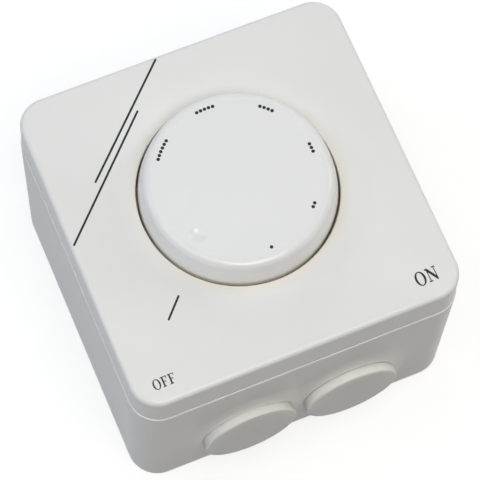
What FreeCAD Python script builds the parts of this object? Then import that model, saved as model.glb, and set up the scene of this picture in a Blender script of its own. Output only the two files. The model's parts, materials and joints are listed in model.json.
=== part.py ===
"""Surface-mounted rotary fan speed control: box, cover, dial and the electronic insert inside.

Millimetres. The back of the box lies on z = 0, +Z points out of the cover, -Y is the cable side.
"""

import FreeCAD, Part
import math
import os

# Enclosure
box_width = 82.0
box_height = 82.0
corner_radius = 7.3
base_depth = 45.3
cover_depth = 10.35
cover_inset = 0.3
cover_draft = 0.06
cover_edge_radius = 1.2
cover_wall = 2.0
cover_plate = 2.4
rim_inset = 0.03
rim_chamfer = 0.12
base_draft_x = 0.1
base_draft_y = 0.95
base_wall = 3.0
back_wall = 2.8
back_edge_chamfer = 0.4
tongue_gap = 0.2
tongue_height = 3.0

# Gasket between base and cover
gasket_inset = 0.95
gasket_width = 0.8
gasket_depth = 0.9

# Fit clearances
fit_gap = 0.05
loose_gap = 0.4
running_gap = 0.05
part_spacing = 1.0

# How far cutting tools run past the faces they open
overshoot = 1.0

# Dial well in the cover and the dial's axis
dial_x = 0.7
dial_y = 1.55
knob_to_well = 0.54
well_depth = 6.5
well_wall = 1.6
well_floor = 2.2
well_edge_rounding = 0.25
cover_rib_count = 8
cover_rib_thickness = 1.2
cover_rib_depth = 3.5

# Control knob
knob_base_radius = 23.3
knob_rise = 7.05
knob_skirt_clearance = 1.0
knob_flat_radius = 20.35
knob_edge_radius = 1.15
knob_edge_start_deg = 22.0
knob_barrel_bulge = 0.2
knob_barrel_start = 0.2
knob_crown = 0.1
knob_wall = 1.8
knob_top_thickness = 2.2
knob_hub_radius = 5.4
knob_rib_count = 6
knob_rib_thickness = 1.2
knob_rib_clearance = 1.0
dimple_circle_radius = 17.2
dimple_angle_deg = -146.0
dimple_radius = 1.9
dimple_depth = 0.5

# Cable entries and blanking plugs
entry_spacing = 26.2
entry_offset_x = -0.45
entry_height = 17.8
entry_bore_radius = 9.9
boss_radius = 11.9
boss_height = 0.95
boss_flare = 6.2
boss_flare_height = 0.68
boss_flare_sink = 0.04
plug_head_radius = 11.75
plug_head_thickness = 2.2
plug_head_rounding = 0.4
plug_lip = 0.6
plug_lip_length = 1.6
plug_lip_draft_room = 0.3
plug_shell = 1.6
right_plug_standoff = 0.1

# Wall fixing slots
slot_end_room = 12.0
slot_radius = 2.25
slot_length = 7.5

# Circuit board
board_side_room = 8.0
board_top_room = 5.0
terminal_to_pot = 2.7
board_thickness = 1.6
nut_to_cover = 0.85
board_corner = 2.5
post_inset = 3.5
post_radius = 3.2
post_taper = 0.3
screw_pilot_radius = 1.25
screw_shank_radius = 1.45
screw_shank_length = 8.0
screw_head_radius = 2.8
screw_head_height = 1.9
screw_recess_radius = 1.4
screw_recess_depth = 1.1

# Cover screws and their posts
cover_screw_circle = 16.5
cover_screw_angles_deg = (135.0, -45.0)
cover_post_radius = 3.4
cover_screw_length = 12.0

# Potentiometer with mains switch
pot_radius = 12.0
pot_height = 12.0
pot_wall = 1.0
pot_front = 1.4
switch_height = 8.0
switch_flat = 10.8
bushing_radius = 5.0
bushing_rise = 0.45
bushing_flange = 2.0
bushing_flange_thickness = 1.0
shaft_radius = 3.0
shaft_flat = 1.5
shaft_end_gap = 0.5
shaft_tail = 1.2
track_radius = 10.6
track_bore = 4.2
track_thickness = 1.0
wiper_radius = 7.5
wiper_thickness = 1.4
wiper_gap = 0.25
wiper_lift = 1.2
wiper_arm_width = 2.4
wiper_arm_reach = 9.6
pin_width = 1.4
pin_thickness = 0.5
switch_pin_offset = 4.0
pot_pin_step_deg = 25.0
washer_radius = 7.2
washer_thickness = 0.6
nut_across_flats = 13.0
nut_height = 2.4
seal_radius = 7.4
spring_thickness = 0.3
spring_width = 3.4
spring_length = 7.5

# Heat sink bracket and triac
sheet = 1.5
bend_radius = 1.2
bracket_to_pot = 1.05
bracket_tab_width = 3.0
bracket_side_land = 7.0
triac_offset_x = 5.8
triac_width = 10.0
triac_height = 15.4
triac_body_height = 9.2
triac_body_depth = 3.1
triac_tab_thickness = 1.3
triac_lead_pitch = 2.54
triac_lead_width = 0.9
triac_lead_thickness = 0.5
triac_stand = 3.6
triac_hole_drop = 2.8
triac_screw_radius = 1.5

# Choke
choke_y = 1.0
choke_bay_share = 0.8
core_bore_share = 0.58
core_height = 6.0
core_chamfer = 0.5
turn_count = 14
turn_thickness = 0.8
choke_stand = 0.3

# Capacitors, resistors, diac
x2_width = 18.0
x2_depth = 7.0
x2_height = 11.5
x2_offset_x = -1.7
x2_edge = 0.8
timing_width = 7.2
timing_depth = 3.0
timing_height = 6.5
resistor_radius = 1.15
resistor_length = 6.4
resistor_lead_radius = 0.3
resistor_lead_span = 10.0
resistor_y = 1.5
resistor_pitch = 3.3
resistor_count = 2
diac_radius = 0.9
diac_length = 4.0
diac_lead_reach = 1.6

# Fuse
fuse_y = -2.0
fuse_radius = 2.5
fuse_length = 20.0
fuse_glass_wall = 0.5
fuse_cap_length = 5.0
fuse_cap_wall = 0.2
fuse_axis_height = 4.4
clip_width = 3.2
clip_sheet = 0.4

# Trimmer
trimmer_size = 9.5
trimmer_height = 4.8
trimmer_rotor_radius = 3.2
trimmer_rotor_height = 1.9
trimmer_rotor_proud = 0.5
trimmer_slot_width = 0.7
trimmer_slot_depth = 0.7

# Terminal block
pole_count = 4
pole_pitch = 5.5
terminal_offset_x = -7.7
terminal_depth = 8.8
terminal_height = 11.0
terminal_slope = 3.0
terminal_cage = 3.9
terminal_cage_wall = 0.7
terminal_cage_length = 5.6
terminal_entry_depth = 6.6
terminal_entry_level = 2.0
terminal_head_radius = 1.9
terminal_head_height = 1.5
terminal_thread_radius = 1.2
terminal_well_gap = 0.25
slot_cut = 0.6

# Levels worked out from the sizes above
cover_top = base_depth + cover_depth
well_floor_top = cover_top - well_depth
well_floor_bottom = well_floor_top - well_floor
bracket_top = well_floor_bottom - nut_to_cover - nut_height - washer_thickness
pot_top = bracket_top - sheet
switch_top = pot_top - pot_height
board_top = switch_top - switch_height
board_level = board_top - board_thickness
knob_rim_bottom = well_floor_top + knob_skirt_clearance
knob_top = cover_top + knob_rise
knob_ceiling = knob_top - knob_top_thickness
cover_screw_head_top = well_floor_top + screw_head_height
bushing_top = well_floor_top + bushing_rise
shaft_top = knob_ceiling - shaft_end_gap

# Places worked out from the sizes above
well_radius = knob_base_radius + knob_to_well
board_half = box_width / 2 - board_side_room
board_low_y = dial_y - pot_radius - terminal_to_pot - terminal_depth
board_high_y = box_height / 2 - board_top_room
slot_spacing = box_height - 2 * slot_end_room
entry_wall_inset = rim_inset + base_draft_y * (1 - entry_height / base_depth)
entry_wall_y = -(box_height / 2 - entry_wall_inset)
boss_face_y = entry_wall_y - boss_height
switch_side = dial_x + switch_flat + fit_gap + pin_thickness
choke_x = (switch_side + board_half) / 2
choke_radius = choke_bay_share * (board_half - switch_side) / 2
core_outer = choke_radius - turn_thickness - fit_gap
core_inner = core_outer * core_bore_share
timing_x = choke_x
timing_y = choke_y + choke_radius + part_spacing + timing_depth / 2
clip_radius = fuse_radius + 2 * fit_gap + fuse_cap_wall + clip_sheet
fuse_x = -(board_half - part_spacing - clip_radius)
resistor_first_x = fuse_x + clip_radius + part_spacing + resistor_radius
trimmer_x = -(board_half - part_spacing - trimmer_size / 2)
trimmer_y = fuse_y + fuse_length / 2 + part_spacing + trimmer_size / 2
diac_x = resistor_first_x
diac_y = resistor_y - resistor_lead_span / 2 - part_spacing - diac_length / 2 - diac_lead_reach
bracket_leg_y = dial_y + pot_radius + bracket_to_pot
triac_x = dial_x + triac_offset_x
bracket_right = triac_x + bracket_side_land
x2_x = dial_x + x2_offset_x
x2_y = board_high_y - part_spacing - x2_depth / 2
terminal_x = dial_x + terminal_offset_x
z_axis = FreeCAD.Vector(0, 0, 1)
y_axis = FreeCAD.Vector(0, 1, 0)
x_axis = FreeCAD.Vector(1, 0, 0)
dial_axis = FreeCAD.Vector(dial_x, dial_y, 0)


def rounded_outline(inset, z, extra_x=0.0, extra_y=0.0):
    """Wire of the box outline at height z, drawn in by inset, and by more on the side or end walls."""
    width = box_width - 2 * (inset + extra_x)
    height = box_height - 2 * (inset + extra_y)
    return rounded_wire(width, height, corner_radius - inset, 0.0, 0.0, z)


def rounded_wire(width, height, radius, x, y, z):
    """Wire of a rectangle with round corners about (x, y)."""
    edges = []
    last = None
    first = None
    for index, (sx, sy) in enumerate(((1, 1), (-1, 1), (-1, -1), (1, -1))):
        centre = FreeCAD.Vector(x + sx * (width / 2 - radius), y + sy * (height / 2 - radius), z)
        points = []
        for turn in (0, 45, 90):
            angle = math.radians(90 * index + turn)
            points.append(centre + FreeCAD.Vector(radius * math.cos(angle), radius * math.sin(angle), 0))
        if last is None:
            first = points[0]
        else:
            edges.append(Part.LineSegment(last, points[0]).toShape())
        edges.append(Part.Arc(*points).toShape())
        last = points[2]
    edges.append(Part.LineSegment(last, first).toShape())
    return Part.Wire(edges)


def rim_ring(outer_inset, inner_inset):
    """Square ring that follows the rim, as deep as the gasket's groove."""
    low = base_depth - gasket_depth
    sheet_face = Part.Face(rounded_outline(outer_inset, low)).cut(Part.Face(rounded_outline(inner_inset, low)))
    return sheet_face.extrude(FreeCAD.Vector(0, 0, gasket_depth))


def loft(wires):
    return Part.makeLoft(wires, True, True)


def slab(width, height, radius, x, y, z, thickness):
    """Plate with round corners, its lower face at z."""
    face = Part.Face(rounded_wire(width, height, radius, x, y, z))
    return face.extrude(FreeCAD.Vector(0, 0, thickness))


def box(x0, y0, z0, x1, y1, z1):
    return Part.makeBox(x1 - x0, y1 - y0, z1 - z0, FreeCAD.Vector(x0, y0, z0))


def cylinder(radius, z0, z1, x=0.0, y=0.0):
    return Part.makeCylinder(radius, z1 - z0, FreeCAD.Vector(x, y, z0), z_axis)


def tube(outer, inner, z0, z1, x=0.0, y=0.0):
    return cylinder(outer, z0, z1, x, y).cut(cylinder(inner, z0, z1, x, y))


def face_from(edges):
    return Part.Face(Part.Wire(Part.__sortEdges__(edges)))


def line(a, b):
    return Part.LineSegment(a, b).toShape()


def turn_about_dial(shape, angle_deg):
    turned = shape.copy()
    turned.rotate(dial_axis, z_axis, angle_deg)
    return turned


def around_dial(radius, angle_deg):
    angle = math.radians(angle_deg)
    return dial_x + radius * math.cos(angle), dial_y + radius * math.sin(angle)


def save(name, shape):
    solids = shape.Solids
    for solid in solids:
        if not solid.isValid():
            raise ValueError(name + " is not valid")
    body = solids[0] if len(solids) == 1 else Part.makeCompound(solids)
    body.exportStep("parts/" + name + ".step")
    print(name, len(solids), round(sum(s.Volume for s in solids), 2))


def edges_at(shape, z):
    """Edges of a shape that lie in the plane at z."""
    found = []
    for edge in shape.Edges:
        bounds = edge.BoundBox
        if abs(bounds.ZMin - z) < 1e-4 and abs(bounds.ZMax - z) < 1e-4:
            found.append(edge)
    return found


def entry_positions():
    return (entry_offset_x - entry_spacing / 2, entry_offset_x + entry_spacing / 2)


def post_positions():
    reach = board_half - post_inset
    low = board_low_y + post_inset
    high = board_high_y - post_inset
    return [(-reach, low), (reach, low), (-reach, high), (reach, high)]


def cover_screw_positions():
    return [around_dial(cover_screw_circle, angle) for angle in cover_screw_angles_deg]


def entry_boss(x):
    """Boss round a cable entry: a level seat, and a shallow flare that stands square to the drafted wall."""
    foot = boss_radius + boss_flare
    inside_y = entry_wall_y + base_wall / 2
    sweep = (boss_flare ** 2 + boss_flare_height ** 2) / (2 * boss_flare_height)
    turn = math.asin((boss_flare + overshoot) / sweep)

    def at(radius, y):
        return FreeCAD.Vector(x + radius, y, entry_height)

    def on_sweep(angle):
        return at(foot - sweep * math.sin(angle), entry_wall_y - sweep * (1 - math.cos(angle)))

    start = at(foot, entry_wall_y)
    middle = on_sweep(turn / 2)
    end = on_sweep(turn)
    edges = [
        line(at(0, inside_y), at(foot, inside_y)),
        line(at(foot, inside_y), start),
        Part.Arc(start, middle, end).toShape(),
        line(end, at(0, end.y)),
        line(at(0, end.y), at(0, inside_y)),
    ]
    flare = face_from(edges).revolve(FreeCAD.Vector(x, 0, entry_height), y_axis, 360)
    lean = math.degrees(math.atan(base_draft_y / base_depth))
    flare.rotate(FreeCAD.Vector(x, entry_wall_y, entry_height), x_axis, lean)
    flare.translate(FreeCAD.Vector(0, boss_flare_sink, 0))
    seat = Part.makeCylinder(
        boss_radius, inside_y - boss_face_y, FreeCAD.Vector(x, boss_face_y, entry_height), y_axis
    )
    room = box(x - foot, boss_face_y, back_edge_chamfer, x + foot, inside_y, base_depth - rim_chamfer)
    return flare.common(room).fuse(seat)


def base_box():
    low_wire = rounded_outline(rim_inset, back_edge_chamfer, base_draft_x, base_draft_y)
    back_wire = rounded_outline(rim_inset + back_edge_chamfer, 0, base_draft_x, base_draft_y)
    rim_wire = rounded_outline(rim_inset, base_depth - rim_chamfer)
    top_wire = rounded_outline(rim_inset + rim_chamfer, base_depth)
    outer = loft([low_wire, rim_wire]).fuse(loft([back_wire, low_wire])).fuse(loft([rim_wire, top_wire]))
    tongue_inset = cover_inset + cover_wall + tongue_gap
    tongue = slab(
        box_width - 2 * tongue_inset,
        box_height - 2 * tongue_inset,
        corner_radius - tongue_inset,
        0,
        0,
        base_depth - rim_chamfer,
        tongue_height + rim_chamfer,
    )
    body = outer.fuse(tongue)
    for x in entry_positions():
        body = body.fuse(entry_boss(x))
    inner = rim_inset + base_wall
    floor_wire = rounded_outline(inner, back_wall, base_draft_x, base_draft_y)
    cavity = loft([floor_wire, rounded_outline(inner, base_depth)])
    mouth = loft([rounded_outline(inner, base_depth), rounded_outline(inner, cover_top)])
    body = body.cut(cavity).cut(mouth)
    body = body.cut(rim_ring(gasket_inset, gasket_inset + gasket_width))
    for x, y in post_positions():
        body = body.fuse(
            Part.makeCone(
                post_radius + post_taper, post_radius, board_level - back_wall, FreeCAD.Vector(x, y, back_wall)
            )
        )
    for x, y in cover_screw_positions():
        body = body.fuse(
            Part.makeCone(
                cover_post_radius,
                cover_post_radius - post_taper,
                well_floor_bottom - back_wall,
                FreeCAD.Vector(x, y, back_wall),
            )
        )
    for x, y in post_positions():
        body = body.cut(cylinder(screw_pilot_radius + fit_gap, board_level - screw_shank_length, board_level, x, y))
    for x, y in cover_screw_positions():
        body = body.cut(
            cylinder(screw_pilot_radius + fit_gap, well_floor_top - cover_screw_length, well_floor_bottom, x, y)
        )
    for x in entry_positions():
        bore = Part.makeCylinder(
            entry_bore_radius,
            base_wall + boss_height + rim_inset + base_draft_y + overshoot,
            FreeCAD.Vector(x, boss_face_y - overshoot / 2, entry_height),
            y_axis,
        )
        body = body.cut(bore)
    straight = slot_length - 2 * slot_radius
    for sign in (-1, 1):
        centre = sign * slot_spacing / 2
        cutter = box(-slot_radius, centre - straight / 2, -1, slot_radius, centre + straight / 2, back_wall + 1)
        for end in (-1, 1):
            cutter = cutter.fuse(cylinder(slot_radius, -1, back_wall + 1, 0, centre + end * straight / 2))
        body = body.cut(cutter)
    return body


def cover_gasket():
    return rim_ring(gasket_inset + fit_gap, gasket_inset + gasket_width - fit_gap)


def front_cover():
    """Shell with a rounded top edge, a sunk dial well and stiffening ribs under its plate."""
    skirt_end = rounded_outline(cover_inset, base_depth)
    outer = loft([skirt_end, rounded_outline(cover_inset + cover_draft, cover_top)])
    outer = outer.makeFillet(cover_edge_radius, edges_at(outer, cover_top))
    plate_bottom = cover_top - cover_plate
    skirt_inside = cover_inset + cover_wall
    plate_inside = skirt_inside + cover_draft
    hollow = loft([rounded_outline(skirt_inside, base_depth), rounded_outline(plate_inside, plate_bottom)])
    body = outer.cut(hollow)
    cup = cylinder(well_radius + well_wall, well_floor_bottom, plate_bottom, dial_x, dial_y)
    body = body.fuse(cup)
    rib_low = plate_bottom - cover_rib_depth
    reach = box_width
    ribs = None
    for index in range(cover_rib_count):
        blade = box(
            dial_x + well_radius,
            dial_y - cover_rib_thickness / 2,
            rib_low,
            dial_x + reach,
            dial_y + cover_rib_thickness / 2,
            plate_bottom,
        )
        blade = turn_about_dial(blade, 360.0 * index / cover_rib_count)
        ribs = blade if ribs is None else ribs.fuse(blade)
    above_tongue = base_depth + tongue_height + loose_gap
    wide_room = loft([rounded_outline(plate_inside, above_tongue), rounded_outline(plate_inside, plate_bottom)])
    tongue_clear = rim_inset + base_wall + loose_gap
    deep_room = loft([rounded_outline(tongue_clear, base_depth), rounded_outline(tongue_clear, plate_bottom)])
    allowed = deep_room.fuse(wide_room)
    body = body.fuse(ribs.common(allowed))
    body = body.cut(cylinder(well_radius, well_floor_top, cover_top + 1, dial_x, dial_y))
    mouth = [
        edge
        for edge in edges_at(body, cover_top)
        if edge.BoundBox.XLength < 2 * well_radius + 1 and edge.BoundBox.XLength > 2 * well_radius - 1
    ]
    body = body.makeFillet(well_edge_rounding, mouth)
    body = body.cut(cylinder(seal_radius + fit_gap, well_floor_bottom - 1, well_floor_top + 1, dial_x, dial_y))
    for x, y in cover_screw_positions():
        body = body.cut(cylinder(screw_shank_radius + fit_gap, well_floor_bottom - 1, well_floor_top + 1, x, y))
    return body


def shaft_seal():
    return tube(seal_radius, bushing_radius + fit_gap, well_floor_bottom, well_floor_top, dial_x, dial_y)


def pan_screw(x, y, seat, length):
    """Pan-head screw with a cross recess drawn as two crossed slots."""
    head = cylinder(screw_head_radius, seat, seat + screw_head_height, x, y)
    crown = [edge for edge in edges_at(head, seat + screw_head_height)]
    head = head.makeFillet(screw_head_height * 0.45, crown)
    shank = cylinder(screw_pilot_radius, seat - length, seat, x, y)
    screw = head.fuse(shank)
    for width, depth in ((screw_recess_radius, slot_cut / 2), (slot_cut / 2, screw_recess_radius)):
        top = seat + screw_head_height
        screw = screw.cut(box(x - width, y - depth, top - screw_recess_depth, x + width, y + depth, top + 1))
    return screw


def cover_screws():
    length = cover_screw_length - loose_gap
    return Part.makeCompound([pan_screw(x, y, well_floor_top, length) for x, y in cover_screw_positions()])


def board_screws():
    length = screw_shank_length
    return Part.makeCompound([pan_screw(x, y, board_top, length) for x, y in post_positions()])


def knob_point(radius, z):
    return FreeCAD.Vector(dial_x + radius, dial_y, z)


def control_knob():
    """Hollow dial: revolved outside and inside, ribs in a ring, D socket in the hub."""
    edge_z = knob_top - knob_crown - knob_edge_radius
    start = math.radians(knob_edge_start_deg)
    half = (start + math.pi / 2) / 2
    edge_start = knob_point(
        knob_flat_radius + knob_edge_radius * math.cos(start), edge_z + knob_edge_radius * math.sin(start)
    )
    edge_middle = knob_point(
        knob_flat_radius + knob_edge_radius * math.cos(half), edge_z + knob_edge_radius * math.sin(half)
    )
    edge_end = knob_point(knob_flat_radius, knob_top - knob_crown)
    barrel_start = knob_point(knob_base_radius, cover_top + knob_barrel_start)
    chord = edge_start - barrel_start
    bulge = FreeCAD.Vector(chord.z, 0, -chord.x).normalize() * knob_barrel_bulge
    barrel_middle = (barrel_start + edge_start) * 0.5 + bulge
    sphere_height = knob_crown / 4
    crown_middle = knob_point(knob_flat_radius / 2, knob_top - sphere_height)
    rim_low = knob_point(knob_base_radius, knob_rim_bottom)
    centre_low = knob_point(0, knob_rim_bottom)
    centre_top = knob_point(0, knob_top)
    outside = face_from(
        [
            line(centre_low, rim_low),
            line(rim_low, barrel_start),
            Part.Arc(barrel_start, barrel_middle, edge_start).toShape(),
            Part.Arc(edge_start, edge_middle, edge_end).toShape(),
            Part.Arc(edge_end, crown_middle, centre_top).toShape(),
            line(centre_top, centre_low),
        ]
    ).revolve(dial_axis, z_axis, 360)
    inner_low = knob_base_radius - knob_wall
    inner_high = knob_flat_radius - knob_wall / 2
    room = face_from(
        [
            line(knob_point(knob_hub_radius, knob_rim_bottom - 1), knob_point(inner_low, knob_rim_bottom - 1)),
            line(knob_point(inner_low, knob_rim_bottom - 1), knob_point(inner_low, cover_top)),
            line(knob_point(inner_low, cover_top), knob_point(inner_high, knob_ceiling)),
            line(knob_point(inner_high, knob_ceiling), knob_point(knob_hub_radius, knob_ceiling)),
            line(knob_point(knob_hub_radius, knob_ceiling), knob_point(knob_hub_radius, knob_rim_bottom - 1)),
        ]
    ).revolve(dial_axis, z_axis, 360)
    knob = outside.cut(room)
    rib_low = cover_screw_head_top + knob_rib_clearance
    for index in range(knob_rib_count):
        rib = box(
            dial_x + knob_hub_radius - 0.5,
            dial_y - knob_rib_thickness / 2,
            rib_low,
            dial_x + inner_low,
            dial_y + knob_rib_thickness / 2,
            knob_ceiling + 0.2,
        ).common(room.fuse(cylinder(knob_hub_radius, rib_low, knob_ceiling, dial_x, dial_y)))
        knob = knob.fuse(turn_about_dial(rib, 360.0 * index / knob_rib_count))
    socket = cylinder(shaft_radius + fit_gap, knob_rim_bottom - 1, shaft_top + shaft_end_gap / 2, dial_x, dial_y)
    flat_x = dial_x + shaft_flat + spring_thickness + 2 * fit_gap
    keep = box(flat_x, dial_y - shaft_radius, knob_rim_bottom - 2, flat_x + shaft_radius, dial_y + shaft_radius, knob_top)
    knob = knob.cut(socket.cut(keep))
    dimple_x, dimple_y = around_dial(dimple_circle_radius, dimple_angle_deg)
    ball_radius = (dimple_radius ** 2 + dimple_depth ** 2) / (2 * dimple_depth)
    surface = knob_top - knob_crown * (dimple_circle_radius / knob_flat_radius) ** 2
    ball = Part.makeSphere(ball_radius, FreeCAD.Vector(dimple_x, dimple_y, surface - dimple_depth + ball_radius))
    return knob.cut(ball).removeSplitter()


def knob_spring():
    """Flat leaf between the shaft's flat and the socket."""
    x0 = dial_x + shaft_flat + fit_gap
    top = shaft_top
    return box(x0, dial_y - spring_width / 2, top - spring_length, x0 + spring_thickness, dial_y + spring_width / 2, top)


def pot_shaft():
    bottom = switch_top + pot_wall + shaft_tail
    shaft = cylinder(shaft_radius, bottom, shaft_top, dial_x, dial_y)
    top_edges = edges_at(shaft, shaft_top)
    shaft = shaft.makeChamfer(0.4, top_edges)
    flat = box(
        dial_x + shaft_flat,
        dial_y - shaft_radius - 1,
        bushing_top + loose_gap,
        dial_x + 2 * shaft_radius,
        dial_y + shaft_radius + 1,
        shaft_top + 1,
    )
    return shaft.cut(flat)


def pot_wiper():
    """Rotor disc pressed on the shaft, with one contact arm over the track."""
    low = switch_top + pot_wall + track_thickness + wiper_gap + wiper_lift
    disc = tube(wiper_radius, shaft_radius + fit_gap / 2, low, low + wiper_thickness, dial_x, dial_y)
    arm_low = switch_top + pot_wall + track_thickness + wiper_gap
    arm = box(
        dial_x - wiper_arm_reach,
        dial_y - wiper_arm_width / 2,
        arm_low,
        dial_x - shaft_radius * 1.5,
        dial_y + wiper_arm_width / 2,
        low,
    )
    return disc.fuse(arm).removeSplitter()


def pot_track():
    low = switch_top + pot_wall
    wafer = tube(track_radius, track_bore, low, low + track_thickness, dial_x, dial_y)
    return wafer


def pot_housing():
    can = cylinder(pot_radius, switch_top, pot_top, dial_x, dial_y)
    can = can.makeFillet(0.8, edges_at(can, pot_top))
    room = cylinder(pot_radius - pot_wall, switch_top + pot_wall, pot_top - pot_front, dial_x, dial_y)
    hole = cylinder(bushing_radius + fit_gap, pot_top - pot_front - 1, pot_top + 1, dial_x, dial_y)
    return can.cut(room).cut(hole)


def pot_bushing():
    ceiling = pot_top - pot_front
    flange_low = ceiling - bushing_flange_thickness
    flange = cylinder(bushing_radius + bushing_flange, flange_low, ceiling, dial_x, dial_y)
    stem = cylinder(bushing_radius, flange_low, bushing_top, dial_x, dial_y)
    stem = stem.makeChamfer(0.5, edges_at(stem, bushing_top))
    bore = cylinder(shaft_radius + running_gap, flange_low - overshoot, bushing_top + overshoot, dial_x, dial_y)
    return flange.fuse(stem).cut(bore)


def pot_washer():
    return tube(washer_radius, bushing_radius + fit_gap, bracket_top, bracket_top + washer_thickness, dial_x, dial_y)


def hexagon(across_flats, z, height, x, y):
    corners = []
    radius = across_flats / math.sqrt(3)
    for index in range(7):
        angle = math.radians(60 * index)
        corners.append(FreeCAD.Vector(x + radius * math.cos(angle), y + radius * math.sin(angle), z))
    return Part.Face(Part.makePolygon(corners)).extrude(FreeCAD.Vector(0, 0, height))


def pot_nut():
    low = bracket_top + washer_thickness
    blank = hexagon(nut_across_flats, low, nut_height, dial_x, dial_y)
    corner = nut_across_flats / math.sqrt(3)
    cone = Part.makeCone(corner, corner - 0.9, nut_height, FreeCAD.Vector(dial_x, dial_y, low))
    rounding = cone.fuse(cylinder(corner - 0.45, low, low + nut_height / 2, dial_x, dial_y))
    nut = blank.common(rounding)
    return nut.cut(cylinder(bushing_radius + fit_gap, low - 1, low + nut_height + 1, dial_x, dial_y))


def switch_housing():
    body = cylinder(pot_radius, board_top, switch_top, dial_x, dial_y)
    limit = box(
        dial_x - switch_flat,
        dial_y - pot_radius,
        board_top,
        dial_x + switch_flat,
        dial_y + pot_radius,
        switch_top,
    )
    return body.common(limit)


def side_pin(radius, angle_deg, low, high):
    pin = box(
        dial_x + radius,
        dial_y - pin_width / 2,
        low,
        dial_x + radius + pin_thickness,
        dial_y + pin_width / 2,
        high,
    )
    return turn_about_dial(pin, angle_deg)


def pot_pin_angles():
    return [-90 + step * pot_pin_step_deg for step in (-1, 0, 1)]


def pot_pins():
    middle = switch_top + pot_height / 2
    return Part.makeCompound([side_pin(pot_radius + fit_gap, angle, board_top, middle) for angle in pot_pin_angles()])


def switch_pins():
    middle = board_top + switch_height / 2
    pins = []
    for side in (0, 180):
        for offset in (-1, 1):
            pin = box(
                dial_x + switch_flat + fit_gap,
                dial_y + offset * switch_pin_offset - pin_width / 2,
                board_top,
                dial_x + switch_flat + fit_gap + pin_thickness,
                dial_y + offset * switch_pin_offset + pin_width / 2,
                middle,
            )
            pins.append(turn_about_dial(pin, side))
    return Part.makeCompound(pins)


def circuit_board():
    middle_y = (board_low_y + board_high_y) / 2
    height = board_high_y - board_low_y
    board = slab(2 * board_half, height, board_corner, 0, middle_y, board_level, board_thickness)
    for x, y in post_positions():
        board = board.cut(cylinder(screw_shank_radius + fit_gap, board_level - 1, board_top + 1, x, y))
    for x, y in cover_screw_positions():
        board = board.cut(cylinder(cover_post_radius + loose_gap, board_level - 1, board_top + 1, x, y))
    for x0, x1 in bracket_tab_spans():
        board = board.cut(
            box(
                x0 - fit_gap,
                bracket_leg_y - fit_gap,
                board_level - 1,
                x1 + fit_gap,
                bracket_leg_y + sheet + fit_gap,
                board_top + 1,
            )
        )
    return board


def bracket_left():
    x, _ = cover_screw_positions()[0]
    return x + cover_post_radius + loose_gap


def bracket_front():
    _, y = cover_screw_positions()[1]
    return y + cover_post_radius + loose_gap


def bracket_tab_spans():
    left = bracket_left() + bracket_tab_width
    right = bracket_right - bracket_tab_width
    return ((left - bracket_tab_width / 2, left + bracket_tab_width / 2),
            (right - bracket_tab_width / 2, right + bracket_tab_width / 2))


def heat_sink_bracket():
    """Bent aluminium sheet: a plate under the pot's nut and a leg down to the board."""
    left = bracket_left()
    width = bracket_right - left
    outer = bend_radius + sheet
    outer_y = bracket_leg_y + sheet

    def at(y, z):
        return FreeCAD.Vector(left, y, z)

    bend_centre_y = outer_y - outer
    bend_centre_z = bracket_top - outer
    diagonal = math.sqrt(0.5)
    front = bracket_front()
    edges = [
        line(at(front, pot_top), at(front, bracket_top)),
        line(at(front, bracket_top), at(bend_centre_y, bracket_top)),
        Part.Arc(
            at(bend_centre_y, bracket_top),
            at(bend_centre_y + outer * diagonal, bend_centre_z + outer * diagonal),
            at(outer_y, bend_centre_z),
        ).toShape(),
        line(at(outer_y, bend_centre_z), at(outer_y, board_top)),
        line(at(outer_y, board_top), at(bracket_leg_y, board_top)),
        line(at(bracket_leg_y, board_top), at(bracket_leg_y, bend_centre_z)),
        Part.Arc(
            at(bracket_leg_y, bend_centre_z),
            at(bend_centre_y + bend_radius * diagonal, bend_centre_z + bend_radius * diagonal),
            at(bend_centre_y, pot_top),
        ).toShape(),
        line(at(bend_centre_y, pot_top), at(front, pot_top)),
    ]
    bracket = face_from(edges).extrude(FreeCAD.Vector(width, 0, 0))
    for x0, x1 in bracket_tab_spans():
        bracket = bracket.fuse(box(x0, bracket_leg_y, board_level - 1, x1, outer_y, board_top))
    bracket = bracket.removeSplitter()
    bracket = bracket.cut(cylinder(bushing_radius + fit_gap, pot_top - 1, bracket_top + 1, dial_x, dial_y))
    hole_z = triac_top() - triac_hole_drop
    hole = Part.makeCylinder(triac_screw_radius + fit_gap, sheet + 2, FreeCAD.Vector(triac_x, bracket_leg_y - 1, hole_z), y_axis)
    return bracket.cut(hole)


def triac_top():
    return board_top + triac_stand + triac_height


def triac_body():
    y0 = bracket_leg_y + sheet + triac_tab_thickness
    low = board_top + triac_stand
    body = box(
        triac_x - triac_width / 2, y0, low, triac_x + triac_width / 2, y0 + triac_body_depth, low + triac_body_height
    )
    front = [e for e in body.Edges if abs(e.BoundBox.YMin - y0 - triac_body_depth) < 1e-4 and e.BoundBox.YLength < 1e-4]
    return body.makeChamfer(0.5, front)


def triac_tab():
    """Metal tab with its hole, and the three leads down to the board."""
    y0 = bracket_leg_y + sheet
    low = board_top + triac_stand
    tab = box(triac_x - triac_width / 2, y0, low, triac_x + triac_width / 2, y0 + triac_tab_thickness, triac_top())
    hole_z = triac_top() - triac_hole_drop
    hole = Part.makeCylinder(triac_screw_radius + fit_gap, triac_tab_thickness + 2, FreeCAD.Vector(triac_x, y0 - 1, hole_z), y_axis)
    pieces = [tab.cut(hole)]
    lead_y = y0 + triac_tab_thickness + triac_body_depth / 2
    for index in (-1, 0, 1):
        x = triac_x + index * triac_lead_pitch
        pieces.append(
            box(
                x - triac_lead_width / 2,
                lead_y - triac_lead_thickness / 2,
                board_top,
                x + triac_lead_width / 2,
                lead_y + triac_lead_thickness / 2,
                low,
            )
        )
    return Part.makeCompound(pieces)


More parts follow.
